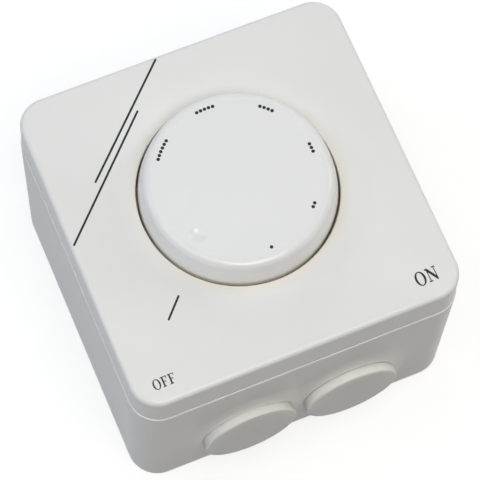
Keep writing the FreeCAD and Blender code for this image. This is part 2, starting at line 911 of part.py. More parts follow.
def triac_screw():
    y0 = bracket_leg_y + sheet + triac_tab_thickness
    z = triac_top() - triac_hole_drop
    shank = Part.makeCylinder(triac_screw_radius, sheet + triac_tab_thickness + 1.2, FreeCAD.Vector(triac_x, bracket_leg_y - 1.2, z), y_axis)
    head = Part.makeCylinder(screw_head_radius, screw_head_height, FreeCAD.Vector(triac_x, y0, z), y_axis)
    rim = [e for e in head.Edges if abs(e.BoundBox.YMin - y0 - screw_head_height) < 1e-4 and e.BoundBox.YLength < 1e-4]
    head = head.makeFillet(screw_head_height * 0.4, rim)
    slot = box(
        triac_x - slot_cut / 2,
        y0 + screw_head_height - screw_recess_depth,
        z - screw_head_radius - 1,
        triac_x + slot_cut / 2,
        y0 + screw_head_height + 1,
        z + screw_head_radius + 1,
    )
    return shank.fuse(head).cut(slot)


def choke_core():
    low = board_top + choke_stand + turn_thickness + fit_gap
    core = tube(core_outer, core_inner, low, low + core_height, choke_x, choke_y)
    rims = edges_at(core, low) + edges_at(core, low + core_height)
    return core.makeChamfer(core_chamfer, rims)


def choke_winding():
    """Turns of enamelled wire as rounded frames round the core's section; two of them stand on the board."""
    low = board_top + choke_stand
    high = low + core_height + 2 * (turn_thickness + fit_gap)
    inner_r = core_inner - fit_gap - turn_thickness
    outer_r = core_outer + fit_gap + turn_thickness
    turns = []
    for index in range(turn_count):
        frame = box(
            choke_x + inner_r,
            choke_y - turn_thickness / 2,
            low,
            choke_x + outer_r,
            choke_y + turn_thickness / 2,
            high,
        )
        long_edges = [e for e in frame.Edges if e.BoundBox.YLength > turn_thickness / 2]
        frame = frame.makeFillet(turn_thickness * 0.9, long_edges)
        opening = box(
            choke_x + inner_r + turn_thickness,
            choke_y - turn_thickness,
            low + turn_thickness,
            choke_x + outer_r - turn_thickness,
            choke_y + turn_thickness,
            high - turn_thickness,
        )
        frame = frame.cut(opening)
        if index in (0, turn_count // 2):
            leg_x = choke_x + outer_r - turn_thickness / 2
            frame = frame.fuse(cylinder(turn_thickness / 2, board_top, low + 2 * turn_thickness, leg_x, choke_y))
        frame.rotate(FreeCAD.Vector(choke_x, choke_y, 0), z_axis, 360.0 * index / turn_count)
        turns.append(frame)
    return Part.makeCompound(turns)


def upright_box(x, y, width, depth, height, edge):
    block = box(x - width / 2, y - depth / 2, board_top, x + width / 2, y + depth / 2, board_top + height)
    chosen = [e for e in block.Edges if e.BoundBox.ZMax > board_top + edge]
    return block.makeFillet(edge, chosen)


def suppression_capacitor():
    return upright_box(x2_x, x2_y, x2_width, x2_depth, x2_height, x2_edge)


def timing_capacitor():
    return upright_box(timing_x, timing_y, timing_width, timing_depth, timing_height, x2_edge / 2)


def resistor_axis_z():
    return board_top + resistor_radius + 2 * fit_gap


def resistor_xs():
    return [resistor_first_x + index * resistor_pitch for index in range(resistor_count)]


def barrel(x, y, z, radius, length):
    """Axial component body along Y with thicker ends."""
    body = Part.makeCylinder(radius * 0.85, length, FreeCAD.Vector(x, y - length / 2, z), y_axis)
    cap = length * 0.28
    for start in (y - length / 2, y + length / 2 - cap):
        end_cap = Part.makeCylinder(radius, cap, FreeCAD.Vector(x, start, z), y_axis)
        end_cap = end_cap.makeFillet(radius * 0.35, [e for e in end_cap.Edges if e.BoundBox.YLength < 1e-4])
        body = body.fuse(end_cap)
    return body.removeSplitter()


def resistors():
    z = resistor_axis_z()
    return Part.makeCompound([barrel(x, resistor_y, z, resistor_radius, resistor_length) for x in resistor_xs()])


def bent_lead(x, y_body, y_hole, z):
    """Straight wire from a component's end, bent down to the board."""
    reach = Part.makeCylinder(
        resistor_lead_radius, abs(y_hole - y_body), FreeCAD.Vector(x, min(y_body, y_hole), z), y_axis
    )
    drop = cylinder(resistor_lead_radius, board_top, z, x, y_hole)
    elbow = Part.makeSphere(resistor_lead_radius, FreeCAD.Vector(x, y_hole, z))
    return reach.fuse(drop).fuse(elbow)


def resistor_leads():
    z = resistor_axis_z()
    leads = []
    for x in resistor_xs():
        for sign in (-1, 1):
            leads.append(
                bent_lead(x, resistor_y + sign * resistor_length / 2, resistor_y + sign * resistor_lead_span / 2, z)
            )
    return Part.makeCompound(leads)


def diac():
    z = board_top + diac_radius + fit_gap
    glass = Part.makeCylinder(diac_radius, diac_length, FreeCAD.Vector(diac_x, diac_y - diac_length / 2, z), y_axis)
    body = glass.makeFillet(diac_radius * 0.4, [e for e in glass.Edges if e.BoundBox.YLength < 1e-4])
    for sign in (-1, 1):
        inside = diac_length / 2 - diac_radius * 0.2
        outside = diac_length / 2 + diac_lead_reach
        lead = bent_lead(diac_x, diac_y + sign * inside, diac_y + sign * outside, z)
        body = body.fuse(lead)
    return body


def fuse_axis_z():
    return board_top + fuse_axis_height


def y_tube(outer, inner, y0, y1):
    start = FreeCAD.Vector(fuse_x, y0, fuse_axis_z())
    solid = Part.makeCylinder(outer, y1 - y0, start, y_axis)
    if inner > 0:
        solid = solid.cut(Part.makeCylinder(inner, y1 - y0, start, y_axis))
    return solid


def fuse_tube():
    half = fuse_length / 2 - fuse_cap_wall - fit_gap
    return y_tube(fuse_radius, fuse_radius - fuse_glass_wall, fuse_y - half, fuse_y + half)


def fuse_caps():
    """Brass cups on both ends of the glass, with the link wire between them."""
    caps = []
    outer = fuse_radius + fit_gap + fuse_cap_wall
    for sign in (-1, 1):
        outer_y = fuse_y + sign * fuse_length / 2
        inner_y = outer_y - sign * fuse_cap_length
        low, high = min(outer_y, inner_y), max(outer_y, inner_y)
        cap = y_tube(outer, fuse_radius + fit_gap, low, high)
        end_low = high - fuse_cap_wall if sign > 0 else low
        caps.append(cap.fuse(y_tube(outer, 0, end_low, end_low + fuse_cap_wall)).removeSplitter())
    return Part.makeCompound(caps)


def fuse_clips():
    """Sprung U clips that hold the fuse by its caps."""
    clips = []
    inner = fuse_radius + 2 * fit_gap + fuse_cap_wall
    outer = inner + clip_sheet
    z = fuse_axis_z()
    for sign in (-1, 1):
        centre_y = fuse_y + sign * (fuse_length - fuse_cap_length) / 2
        y0 = centre_y - clip_width / 2
        y1 = centre_y + clip_width / 2
        ring = y_tube(outer, inner, y0, y1)
        gap = box(fuse_x - inner * 0.62, y0 - 1, z, fuse_x + inner * 0.62, y1 + 1, z + outer + 1)
        foot = box(fuse_x - inner * 0.6, y0, board_top, fuse_x + inner * 0.6, y1, z - inner * 0.85)
        foot = foot.cut(y_tube(inner, 0, y0, y1))
        clips.append(ring.cut(gap).fuse(foot).removeSplitter())
    return Part.makeCompound(clips)


def trimmer_body():
    block = slab(trimmer_size, trimmer_size, 0.6, trimmer_x, trimmer_y, board_top, trimmer_height)
    pocket_low = board_top + trimmer_height + trimmer_rotor_proud - trimmer_rotor_height
    pocket = cylinder(
        trimmer_rotor_radius + running_gap, pocket_low, board_top + trimmer_height + 1, trimmer_x, trimmer_y
    )
    return block.cut(pocket)


def trimmer_rotor():
    high = board_top + trimmer_height + trimmer_rotor_proud
    low = high - trimmer_rotor_height + 2 * fit_gap
    rotor = cylinder(trimmer_rotor_radius, low, high, trimmer_x, trimmer_y)
    rotor = rotor.makeChamfer(0.25, edges_at(rotor, high))
    slot = box(
        trimmer_x - trimmer_rotor_radius - 1,
        trimmer_y - trimmer_slot_width / 2,
        high - trimmer_slot_depth,
        trimmer_x + trimmer_rotor_radius * 0.75,
        trimmer_y + trimmer_slot_width / 2,
        high + 1,
    )
    return rotor.cut(slot)


def pole_xs():
    first = terminal_x - pole_pitch * (pole_count - 1) / 2
    return [first + index * pole_pitch for index in range(pole_count)]


def terminal_front():
    return board_low_y


def terminal_housing():
    """Insulating block with a sloped front, a screw well and a wire entry for each pole."""
    front = terminal_front()
    back = front + terminal_depth
    half = pole_pitch * pole_count / 2
    left = terminal_x - half
    top = board_top + terminal_height

    def at(y, z):
        return FreeCAD.Vector(left, y, z)

    shoulder = board_top + terminal_entry_level + terminal_cage + 2 * fit_gap + 1.0
    profile = Part.makePolygon(
        [
            at(front, board_top),
            at(front, shoulder),
            at(front + terminal_slope, top),
            at(back, top),
            at(back, board_top),
            at(front, board_top),
        ]
    )
    block = Part.Face(profile).extrude(FreeCAD.Vector(2 * half, 0, 0))
    screw_y = terminal_screw_y()
    for x in pole_xs():
        low = board_top + terminal_entry_level
        wide = terminal_cage / 2 + fit_gap
        block = block.cut(
            box(x - wide, front - 1, low, x + wide, front + terminal_entry_depth, low + terminal_cage + 2 * fit_gap)
        )
        block = block.cut(cylinder(terminal_head_radius + terminal_well_gap, low + terminal_cage, top + 1, x, screw_y))
    return block


def terminal_screw_y():
    return terminal_front() + terminal_entry_depth - terminal_cage_length / 2


def terminal_clamps():
    """Square tubes that close on the wires, each with a thread hole in its top."""
    cages = []
    back = terminal_front() + terminal_entry_depth - fit_gap
    low = board_top + terminal_entry_level + fit_gap
    for x in pole_xs():
        half = terminal_cage / 2
        cage = box(x - half, back - terminal_cage_length, low, x + half, back, low + terminal_cage)
        inner = half - terminal_cage_wall
        cage = cage.cut(
            box(
                x - inner,
                back - terminal_cage_length - 1,
                low + terminal_cage_wall,
                x + inner,
                back + 1,
                low + terminal_cage - terminal_cage_wall,
            )
        )
        hole = cylinder(
            terminal_thread_radius + fit_gap, low + terminal_cage / 2, low + terminal_cage + 1, x, terminal_screw_y()
        )
        cages.append(cage.cut(hole))
    return Part.makeCompound(cages)


def terminal_screws():
    screws = []
    seat = board_top + terminal_entry_level + terminal_cage + fit_gap
    tip = seat - terminal_cage_wall - 1.2
    y = terminal_screw_y()
    for index, x in enumerate(pole_xs()):
        head = cylinder(terminal_head_radius, seat, seat + terminal_head_height, x, y)
        screw = head.fuse(cylinder(terminal_thread_radius, tip, seat, x, y))
        slot = box(
            x - slot_cut / 2,
            y - terminal_head_radius - 1,
            seat + terminal_head_height / 2,
            x + slot_cut / 2,
            y + terminal_head_radius + 1,
            seat + terminal_head_height + 1,
        )
        slot.rotate(FreeCAD.Vector(x, y, 0), z_axis, 25.0 * index)
        screws.append(screw.cut(slot))
    return Part.makeCompound(screws)


def cable_plug(x, standoff):
    """Blanking plug: domed-edge head, stem through the wall and a snap lip, hollow from inside."""
    seat_y = boss_face_y - standoff
    face_y = seat_y - plug_head_thickness
    stem_radius = entry_bore_radius - fit_gap
    inner_wall_y = entry_wall_y + base_wall + plug_lip_draft_room
    lip_start = inner_wall_y + fit_gap
    lip_end = lip_start + plug_lip_length
    lip_radius = stem_radius + plug_lip
    hollow_radius = stem_radius - plug_shell
    hollow_y = face_y + plug_shell
    diagonal = math.sqrt(0.5)

    def at(radius, y):
        return FreeCAD.Vector(x + radius, y, entry_height)

    rounding_y = face_y + plug_head_rounding
    rim_start = at(plug_head_radius, rounding_y)
    rim_middle = at(
        plug_head_radius - plug_head_rounding * (1 - diagonal), rounding_y - plug_head_rounding * diagonal
    )
    rim_end = at(plug_head_radius - plug_head_rounding, face_y)
    edges = [
        line(at(0, hollow_y), at(hollow_radius, hollow_y)),
        line(at(hollow_radius, hollow_y), at(hollow_radius, lip_end)),
        line(at(hollow_radius, lip_end), at(stem_radius - plug_lip, lip_end)),
        line(at(stem_radius - plug_lip, lip_end), at(lip_radius, lip_start + plug_lip_length / 3)),
        line(at(lip_radius, lip_start + plug_lip_length / 3), at(lip_radius, lip_start)),
        line(at(lip_radius, lip_start), at(stem_radius, lip_start)),
        line(at(stem_radius, lip_start), at(stem_radius, seat_y)),
        line(at(stem_radius, seat_y), at(plug_head_radius, seat_y)),
        line(at(plug_head_radius, seat_y), rim_start),
        Part.Arc(rim_start, rim_middle, rim_end).toShape(),
        line(rim_end, at(0, face_y)),
        line(at(0, face_y), at(0, hollow_y)),
    ]
    return face_from(edges).revolve(FreeCAD.Vector(x, 0, entry_height), y_axis, 360)


def main():
    os.makedirs("parts", exist_ok=True)
    left_x, right_x = entry_positions()
    save("base_box", base_box())
    save("front_cover", front_cover())
    save("cover_gasket", cover_gasket())
    save("cover_screws", cover_screws())
    save("shaft_seal", shaft_seal())
    save("control_knob", control_knob())
    save("knob_spring", knob_spring())
    save("cable_plug_left", cable_plug(left_x, 0.0))
    save("cable_plug_right", cable_plug(right_x, right_plug_standoff))
    save("circuit_board", circuit_board())
    save("board_screws", board_screws())
    save("pot_housing", pot_housing())
    save("pot_bushing", pot_bushing())
    save("pot_washer", pot_washer())
    save("pot_nut", pot_nut())
    save("pot_shaft", pot_shaft())
    save("pot_wiper", pot_wiper())
    save("pot_track", pot_track())
    save("pot_pins", pot_pins())
    save("switch_housing", switch_housing())
    save("switch_pins", switch_pins())
    save("heat_sink_bracket", heat_sink_bracket())
    save("triac_body", triac_body())
    save("triac_tab", triac_tab())
    save("triac_screw", triac_screw())
    save("choke_core", choke_core())
    save("choke_winding", choke_winding())
    save("suppression_capacitor", suppression_capacitor())
    save("timing_capacitor", timing_capacitor())
    save("resistors", resistors())
    save("resistor_leads", resistor_leads())
    save("diac", diac())
    save("fuse_tube", fuse_tube())
    save("fuse_caps", fuse_caps())
    save("fuse_clips", fuse_clips())
    save("trimmer_body", trimmer_body())
    save("trimmer_rotor", trimmer_rotor())
    save("terminal_housing", terminal_housing())
    save("terminal_clamps", terminal_clamps())
    save("terminal_screws", terminal_screws())


main()
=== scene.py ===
"""Looks of the fan speed control switch: finishes, printed marks, light and camera."""

import json
import math

import bmesh
import bpy
from mathutils import Matrix, Vector


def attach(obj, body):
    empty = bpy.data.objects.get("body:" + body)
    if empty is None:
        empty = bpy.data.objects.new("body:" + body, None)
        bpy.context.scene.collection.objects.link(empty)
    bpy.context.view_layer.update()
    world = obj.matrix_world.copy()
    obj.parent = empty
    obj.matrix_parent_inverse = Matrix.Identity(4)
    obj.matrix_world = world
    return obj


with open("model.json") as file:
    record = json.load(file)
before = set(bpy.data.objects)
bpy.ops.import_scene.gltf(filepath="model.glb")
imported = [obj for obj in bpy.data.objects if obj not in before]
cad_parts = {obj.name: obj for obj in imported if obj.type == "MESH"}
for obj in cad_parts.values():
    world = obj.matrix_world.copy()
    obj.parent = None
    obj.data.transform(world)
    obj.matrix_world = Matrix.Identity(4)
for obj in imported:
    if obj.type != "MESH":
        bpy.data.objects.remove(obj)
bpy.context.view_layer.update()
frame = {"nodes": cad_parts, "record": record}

nodes = frame["nodes"]

# Camera fitted to the photograph's view: focal length in pixels, place in metres, axes, and clip
IMAGE_SIDE_PX = 480.0
FOCAL_PX = 2654.693
SENSOR_WIDTH_MM = 36.0
CAMERA_PLACE = (-0.104111, -0.211527, 0.624671)
CAMERA_RIGHT = (0.922158, -0.385930, 0.026140)
CAMERA_DOWN = (-0.350291, -0.861842, -0.366775)
CAMERA_FORWARD = (0.164079, 0.329068, -0.929942)
CAMERA_CLIP = (0.05, 20.0)

# Sizes and places shared with the solids, in metres
COVER_TOP = 0.05565
DIAL_X = 0.0007
DIAL_Y = 0.00155
WELL_RADIUS = 0.0243
KNOB_TOP = 0.0627
KNOB_CROWN = 0.0001
KNOB_FLAT_RADIUS = 0.02035
KNOB_FOOT_RADIUS = 0.0233
KNOB_FOOT = 0.0559

# The ring over the knob's shoulder and side: its shape, how it lies proud of the knob, narrow
# strips that keep the shading even at its ends, and how far it reaches in and down at the back
KNOB_SHOULDER = 0.0019
KNOB_BULGE = 0.00012
RIM_PROUD = 0.00001
RIM_STRIP = 0.00003
RIM_LAP = 0.0003
RIM_SOLE = 0.0004
RIM_DEPTH = 0.0012

# Painted warm shade in the dial well, for light bounced and shaded in the gap: how deep it is full,
# how it fades, and its share round the mouth
WELL_SHADE_FULL = 0.0003
WELL_SHADE_NONE = 0.00005
WELL_EDGE_FADE = 0.00002
MOUTH_FADE = 0.0025
MOUTH_SHADE_SHARE = 0.4
COVER_WELL_PAINTED_SHADE = (1.0, 0.93, 0.80)
KNOB_WELL_PAINTED_SHADE = (1.0, 0.95, 0.86)

# Printed marks, in metres and degrees: ink reaches this far above and below its surface
INK_THICKNESS = 0.00002
DOTS_X = 0.00047
DOTS_Y = 0.00183
DOT_GROUPS = 6
DOT_CIRCLE = 0.01875
DOT_RADIUS = 0.00042
DOT_PITCH_DEG = 3.08
FIRST_GROUP_DEG = -88.2
GROUP_STEP_DEG = 44.9
LINE_WIDTH = 0.0005
COVER_LINES = (
    ((-0.00457, 0.03965), (-0.02922, 0.01579)),
    ((-0.01350, 0.02883), (-0.03955, 0.00303)),
    ((-0.02205, -0.01759), (-0.02626, -0.02201)),
)
# Words: the corner they start at, their height and their slope
OFF_WORD = ((-0.03560, -0.03670), 0.00250, 1.3)
ON_WORD = ((0.02970, -0.03640), 0.00345, 2.0)

# Scales of the procedural textures, in waves to a metre, and height of the slow waviness
CLOUD_SCALE = 38.0
GRAIN_SCALE = 1400.0
WAVE_SCALE = 60.0
WAVE_HEIGHT = 0.00004
CLOTH_SCALE = 520.0
PAPER_SCALE = 90.0

# Floor: shades and glow as it is seen, shades for bounced light, half side, gap under the part
FLOOR_SEEN = (0.32, 0.34)
FLOOR_GLOW = 0.72
FLOOR_BOUNCE = (0.05, 0.07)
FLOOR_HALF = 3.0
FLOOR_GAP = 0.0002


def camera():
    data = bpy.data.cameras.new("camera")
    data.sensor_width = SENSOR_WIDTH_MM
    data.lens = FOCAL_PX * SENSOR_WIDTH_MM / IMAGE_SIDE_PX
    data.clip_start, data.clip_end = CAMERA_CLIP
    eye = bpy.data.objects.new("camera", data)
    bpy.context.scene.collection.objects.link(eye)
    right, down, forward = Vector(CAMERA_RIGHT), Vector(CAMERA_DOWN), Vector(CAMERA_FORWARD)
    turn = Matrix((right, -down, -forward)).transposed()
    eye.matrix_world = Matrix.Translation(CAMERA_PLACE) @ turn.to_4x4()
    bpy.context.scene.camera = eye


class Shader:
    """A node material with short calls for the nodes it needs."""

    def __init__(self, name):
        self.material = bpy.data.materials.new(name)
        self.material.use_nodes = True
        self.tree = self.material.node_tree
        self.tree.nodes.clear()
        self.output = self.tree.nodes.new("ShaderNodeOutputMaterial")

    def node(self, kind, **settings):
        made = self.tree.nodes.new(kind)
        for key, value in settings.items():
            setattr(made, key, value)
        return made

    def link(self, source, target):
        self.tree.links.new(source, target)

    def place(self):
        return self.node("ShaderNodeNewGeometry").outputs["Position"]

    def noise(self, scale, detail, roughness, stretch=None):
        vector = self.node("ShaderNodeTexCoord").outputs["Object"]
        if stretch:
            mapping = self.node("ShaderNodeMapping")
            mapping.inputs["Scale"].default_value = stretch
            self.link(vector, mapping.inputs["Vector"])
            vector = mapping.outputs["Vector"]
        made = self.node("ShaderNodeTexNoise")
        made.inputs["Scale"].default_value = scale
        made.inputs["Detail"].default_value = detail
        made.inputs["Roughness"].default_value = roughness
        self.link(vector, made.inputs["Vector"])
        return made.outputs["Fac"]

    def ramp(self, fac, stops):
        made = self.node("ShaderNodeValToRGB")
        elements = made.color_ramp.elements
        while len(elements) < len(stops):
            elements.new(0.5)
        for element, (position, colour) in zip(elements, stops):
            element.position = position
            element.color = (*colour, 1.0)
        self.link(fac, made.inputs["Fac"])
        return made.outputs["Color"]

    def span(self, fac, low, high, from_low=0.0, from_high=1.0):
        made = self.node("ShaderNodeMapRange")
        made.inputs["From Min"].default_value = from_low
        made.inputs["From Max"].default_value = from_high
        made.inputs["To Min"].default_value = low
        made.inputs["To Max"].default_value = high
        self.link(fac, made.inputs["Value"])
        return made.outputs["Result"]

    def bump(self, height, strength, distance, normal=None):
        made = self.node("ShaderNodeBump")
        made.inputs["Strength"].default_value = strength
        made.inputs["Distance"].default_value = distance
        self.link(height, made.inputs["Height"])
        if normal is not None:
            self.link(normal, made.inputs["Normal"])
        return made.outputs["Normal"]

    def surface(self, colour, roughness, normal=None, **constants):
        """The finish; constants name sockets with a low line for each space."""
        made = self.node("ShaderNodeBsdfPrincipled")
        for key, value in constants.items():
            made.inputs[key.replace("_", " ")].default_value = value
        self.link(colour, made.inputs["Base Color"])
        self.link(roughness, made.inputs["Roughness"])
        if normal is not None:
            self.link(normal, made.inputs["Normal"])
        self.link(made.outputs["BSDF"], self.output.inputs["Surface"])
        return self.material


def tones(colour, spread):
    """Two shades either side of a colour."""
    dark = tuple(c * (1 - spread) for c in colour)
    light = tuple(min(1.0, c * (1 + spread)) for c in colour)
    return dark, light


def painted_shade_in_the_well(shader):
    """Share of painted warm shade: one deep in the dial well, by a point's place, fading out round
    its mouth and up the knob.
    """
    parts = shader.node("ShaderNodeSeparateXYZ")
    shader.link(shader.place(), parts.inputs["Vector"])
    flat = shader.node("ShaderNodeCombineXYZ")
    shader.link(parts.outputs["X"], flat.inputs["X"])
    shader.link(parts.outputs["Y"], flat.inputs["Y"])
    reach = shader.node("ShaderNodeVectorMath", operation="DISTANCE")
    reach.inputs[1].default_value = (DIAL_X, DIAL_Y, 0.0)
    shader.link(flat.outputs["Vector"], reach.inputs[0])
    inside = (1.0, WELL_EDGE_FADE, COVER_TOP - WELL_SHADE_FULL, COVER_TOP - WELL_SHADE_NONE)
    mouth = (MOUTH_SHADE_SHARE, MOUTH_FADE, COVER_TOP, COVER_TOP + MOUTH_FADE)
    shares = []
    for share, fade, low_from, low_to in (inside, mouth):
        near = shader.span(reach.outputs["Value"], share, 0.0, WELL_RADIUS, WELL_RADIUS + fade)
        low = shader.span(parts.outputs["Z"], 1.0, 0.0, low_from, low_to)
        both = shader.node("ShaderNodeMath", operation="MULTIPLY")
        shader.link(near, both.inputs[0])
        shader.link(low, both.inputs[1])
        shares.append(both.outputs["Value"])
    most = shader.node("ShaderNodeMath", operation="MAXIMUM")
    shader.link(shares[0], most.inputs[0])
    shader.link(shares[1], most.inputs[1])
    return most.outputs["Value"]


def moulded(name, colour, roughness, grain=0.00002, spread=0.015, well=None, **constants):
    """Moulded plastic: faint clouding, spark-eroded grain and slow waviness.

    well is the painted warm shade deep in the dial well, and constants are values of the shader's
    own sockets.
    """
    shader = Shader(name)
    dark, light = tones(colour, spread)
    clouds = shader.noise(CLOUD_SCALE, 4.0, 0.6)
    tint = shader.ramp(clouds, [(0.3, dark), (0.7, light)])
    # Painted warm shade: the colour is warmed and darkened deep in the dial well and round its
    # mouth
    if well is not None:
        deep = shader.ramp(painted_shade_in_the_well(shader), [(0.0, (1.0, 1.0, 1.0)), (1.0, well)])
        product = shader.node("ShaderNodeVectorMath", operation="MULTIPLY")
        shader.link(tint, product.inputs[0])
        shader.link(deep, product.inputs[1])
        tint = product.outputs["Vector"]
    fine = shader.noise(GRAIN_SCALE, 2.0, 0.55)
    rough = shader.span(fine, roughness * 0.85, roughness * 1.15, 0.3, 0.7)
    wavy = shader.noise(WAVE_SCALE, 2.0, 0.4)
    slow = shader.bump(wavy, 0.35, WAVE_HEIGHT)
    normal = shader.bump(fine, 0.5, grain, slow)
    return shader.surface(tint, rough, normal, **constants)


def metal(name, colour, roughness, stretch=(1.0, 1.0, 1.0), scale=900.0, spread=0.08):
    """Worked metal with streaks along the direction that isn't stretched."""
    shader = Shader(name)
    dark, light = tones(colour, spread)
    streaks = shader.noise(scale, 3.0, 0.6, stretch)
    tint = shader.ramp(streaks, [(0.25, dark), (0.75, light)])
    rough = shader.span(streaks, roughness * 0.75, roughness * 1.3, 0.25, 0.75)
    normal = shader.bump(streaks, 0.4, 0.00001)
    return shader.surface(tint, rough, normal, Metallic=1.0)


def laminate(name, colour):
    """Glass-fibre board with a woven look under a solder resist."""
    shader = Shader(name)
    coordinate = shader.node("ShaderNodeTexCoord").outputs["Object"]
    height = None
    for direction in ("X", "Y"):
        wave = shader.node("ShaderNodeTexWave", wave_type="BANDS", bands_direction=direction)
        wave.inputs["Scale"].default_value = CLOTH_SCALE
        wave.inputs["Distortion"].default_value = 0.6
        shader.link(coordinate, wave.inputs["Vector"])
        if height is None:
            height = wave.outputs["Fac"]
        else:
            both = shader.node("ShaderNodeMath", operation="MULTIPLY")
            shader.link(height, both.inputs[0])
            shader.link(wave.outputs["Fac"], both.inputs[1])
            height = both.outputs["Value"]
    dark, light = tones(colour, 0.14)
    tint = shader.ramp(height, [(0.0, dark), (1.0, light)])
    rough = shader.span(height, 0.5, 0.34)
    return shader.surface(tint, rough, shader.bump(height, 0.3, 0.00003))


def clear_glass(name):
    shader = Shader(name)
    streaks = shader.noise(220.0, 2.0, 0.5)
    tint = shader.ramp(streaks, [(0.0, (0.92, 0.96, 0.95)), (1.0, (0.98, 0.99, 0.99))])
    rough = shader.span(streaks, 0.02, 0.06)
    return shader.surface(tint, rough, Transmission_Weight=1.0, IOR=1.47)


def ink(name):
    """Pad-printed ink, a little uneven where it thins."""
    shader = Shader(name)
    patches = shader.noise(2600.0, 3.0, 0.6)
    tint = shader.ramp(patches, [(0.25, (0.010, 0.010, 0.012)), (0.8, (0.030, 0.030, 0.033))])
    rough = shader.span(patches, 0.35, 0.6)
    return shader.surface(tint, rough, shader.bump(patches, 0.3, 0.000005))


def paper_tint(shader, fibre, shades):
    """Grey paper between two shades, following its fibres."""
    low, high = shades
    return shader.ramp(fibre, [(0.2, (low, low, low)), (0.8, (high, high, high))])


def floor_material():
    """White to the camera and in reflections, with a faint shadow; dimmer to bounced light."""
    shader = Shader("floor_paper")
    rays = shader.node("ShaderNodeLightPath")
    fibre = shader.noise(PAPER_SCALE, 4.0, 0.6)
    seen = shader.node("ShaderNodeBsdfDiffuse")
    shader.link(paper_tint(shader, fibre, FLOOR_SEEN), seen.inputs["Color"])
    glow = shader.node("ShaderNodeEmission")
    glow.inputs["Strength"].default_value = FLOOR_GLOW
    lit = shader.node("ShaderNodeAddShader")
    shader.link(seen.outputs["BSDF"], lit.inputs[0])
    shader.link(glow.outputs["Emission"], lit.inputs[1])
    dim = shader.node("ShaderNodeBsdfDiffuse")
    shader.link(paper_tint(shader, fibre, FLOOR_BOUNCE), dim.inputs["Color"])
    direct = shader.node("ShaderNodeMath", operation="MAXIMUM")
    shader.link(rays.outputs["Is Camera Ray"], direct.inputs[0])
    shader.link(rays.outputs["Is Glossy Ray"], direct.inputs[1])
    shown = shader.node("ShaderNodeMath", operation="MAXIMUM")
    shader.link(direct.outputs["Value"], shown.inputs[0])
    shader.link(rays.outputs["Is Transmission Ray"], shown.inputs[1])
    mix = shader.node("ShaderNodeMixShader")
    shader.link(shown.outputs["Value"], mix.inputs["Fac"])
    shader.link(dim.outputs["BSDF"], mix.inputs[1])
    shader.link(lit.outputs["Shader"], mix.inputs[2])
    shader.link(mix.outputs["Shader"], shader.output.inputs["Surface"])
    return shader.material


def new_mesh(name, build, material, body):
    """A piece that rides on a body, with its faces from build."""
    mesh = bpy.data.meshes.new(name)
    work = bmesh.new()
    build(work)
    bmesh.ops.recalc_face_normals(work, faces=work.faces)
    work.to_mesh(mesh)
    work.free()
    mesh.materials.append(material)
    made = bpy.data.objects.new(name, mesh)
    bpy.context.scene.collection.objects.link(made)
    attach(made, body)


def printed_patch(work, outline, z):
    """A thin layer of ink over an outline of points; z is a height or a function of x and y."""
    level = z if callable(z) else (lambda x, y: z)
    low = [work.verts.new((x, y, level(x, y) - INK_THICKNESS)) for x, y in outline]
    high = [work.verts.new((x, y, level(x, y) + INK_THICKNESS)) for x, y in outline]
    work.faces.new(high)
    work.faces.new(list(reversed(low)))
    count = len(outline)
    for index in range(count):
        after = (index + 1) % count
        work.faces.new((low[index], low[after], high[after], high[index]))


def stroke(start, end, width, steps=6):
    """Outline of a straight printed line with round ends."""
    (x0, y0), (x1, y1) = start, end
    along = math.atan2(y1 - y0, x1 - x0)
    points = []
    for (cx, cy), first in (((x1, y1), along - math.pi / 2), ((x0, y0), along + math.pi / 2)):
        for index in range(steps + 1):
            angle = first + math.pi * index / steps
            points.append((cx + width / 2 * math.cos(angle), cy + width / 2 * math.sin(angle)))
    return points


def disc(x, y, radius, steps=28):
    """Points of a circle."""
    angles = [2 * math.pi * i / steps for i in range(steps)]
    return [(x + radius * math.cos(a), y + radius * math.sin(a)) for a in angles]


def knob_surface(x, y):
    """Height of the knob's slightly crowned top."""
    reach = math.hypot(x - DIAL_X, y - DIAL_Y)
    return KNOB_TOP - KNOB_CROWN * (reach / KNOB_FLAT_RADIUS) ** 2


def knob_rim(work, steps=192, rounds=12):
    """The knob's softly rounded shoulder and barrel side, as a closed ring let into the knob."""
    level = KNOB_TOP - KNOB_CROWN + RIM_PROUD
    out, drop = KNOB_FOOT_RADIUS - KNOB_FLAT_RADIUS, level - KNOB_SHOULDER - KNOB_FOOT
    shoulder_tilt = math.atan2(drop, out) + math.asin(KNOB_SHOULDER / math.hypot(out, drop))
    inner = KNOB_FLAT_RADIUS - RIM_LAP
    profile = [(inner, level - RIM_STRIP), (inner + RIM_STRIP, level)]
    for index in range(rounds + 1):
        tilt = shoulder_tilt * index / rounds
        profile.append(
            (
                KNOB_FLAT_RADIUS + KNOB_SHOULDER * math.sin(tilt),
                level - KNOB_SHOULDER * (1 - math.cos(tilt)),
            )
        )
    (top_r, top_z), foot_r, foot_z = profile[-1], KNOB_FOOT_RADIUS + RIM_PROUD, KNOB_FOOT
    for share in (0.25, 0.5, 0.75, 1.0):
        bulge = 4 * share * (1 - share) * KNOB_BULGE
        profile.append((top_r + (foot_r - top_r) * share + bulge, top_z + (foot_z - top_z) * share))
    sole_z = foot_z - RIM_STRIP
    profile += [(foot_r, sole_z), (foot_r - RIM_SOLE, sole_z), (inner, level - RIM_DEPTH)]
    rings = []
    for radius, z in profile:
        circle = disc(DIAL_X, DIAL_Y, radius, steps)
        rings.append([work.verts.new((x, y, z)) for x, y in circle])
    for index, ring in enumerate(rings):
        beyond = rings[(index + 1) % len(rings)]
        for step in range(steps):
            after = (step + 1) % steps
            face = work.faces.new((ring[step], ring[after], beyond[after], beyond[step]))
            face.smooth = True


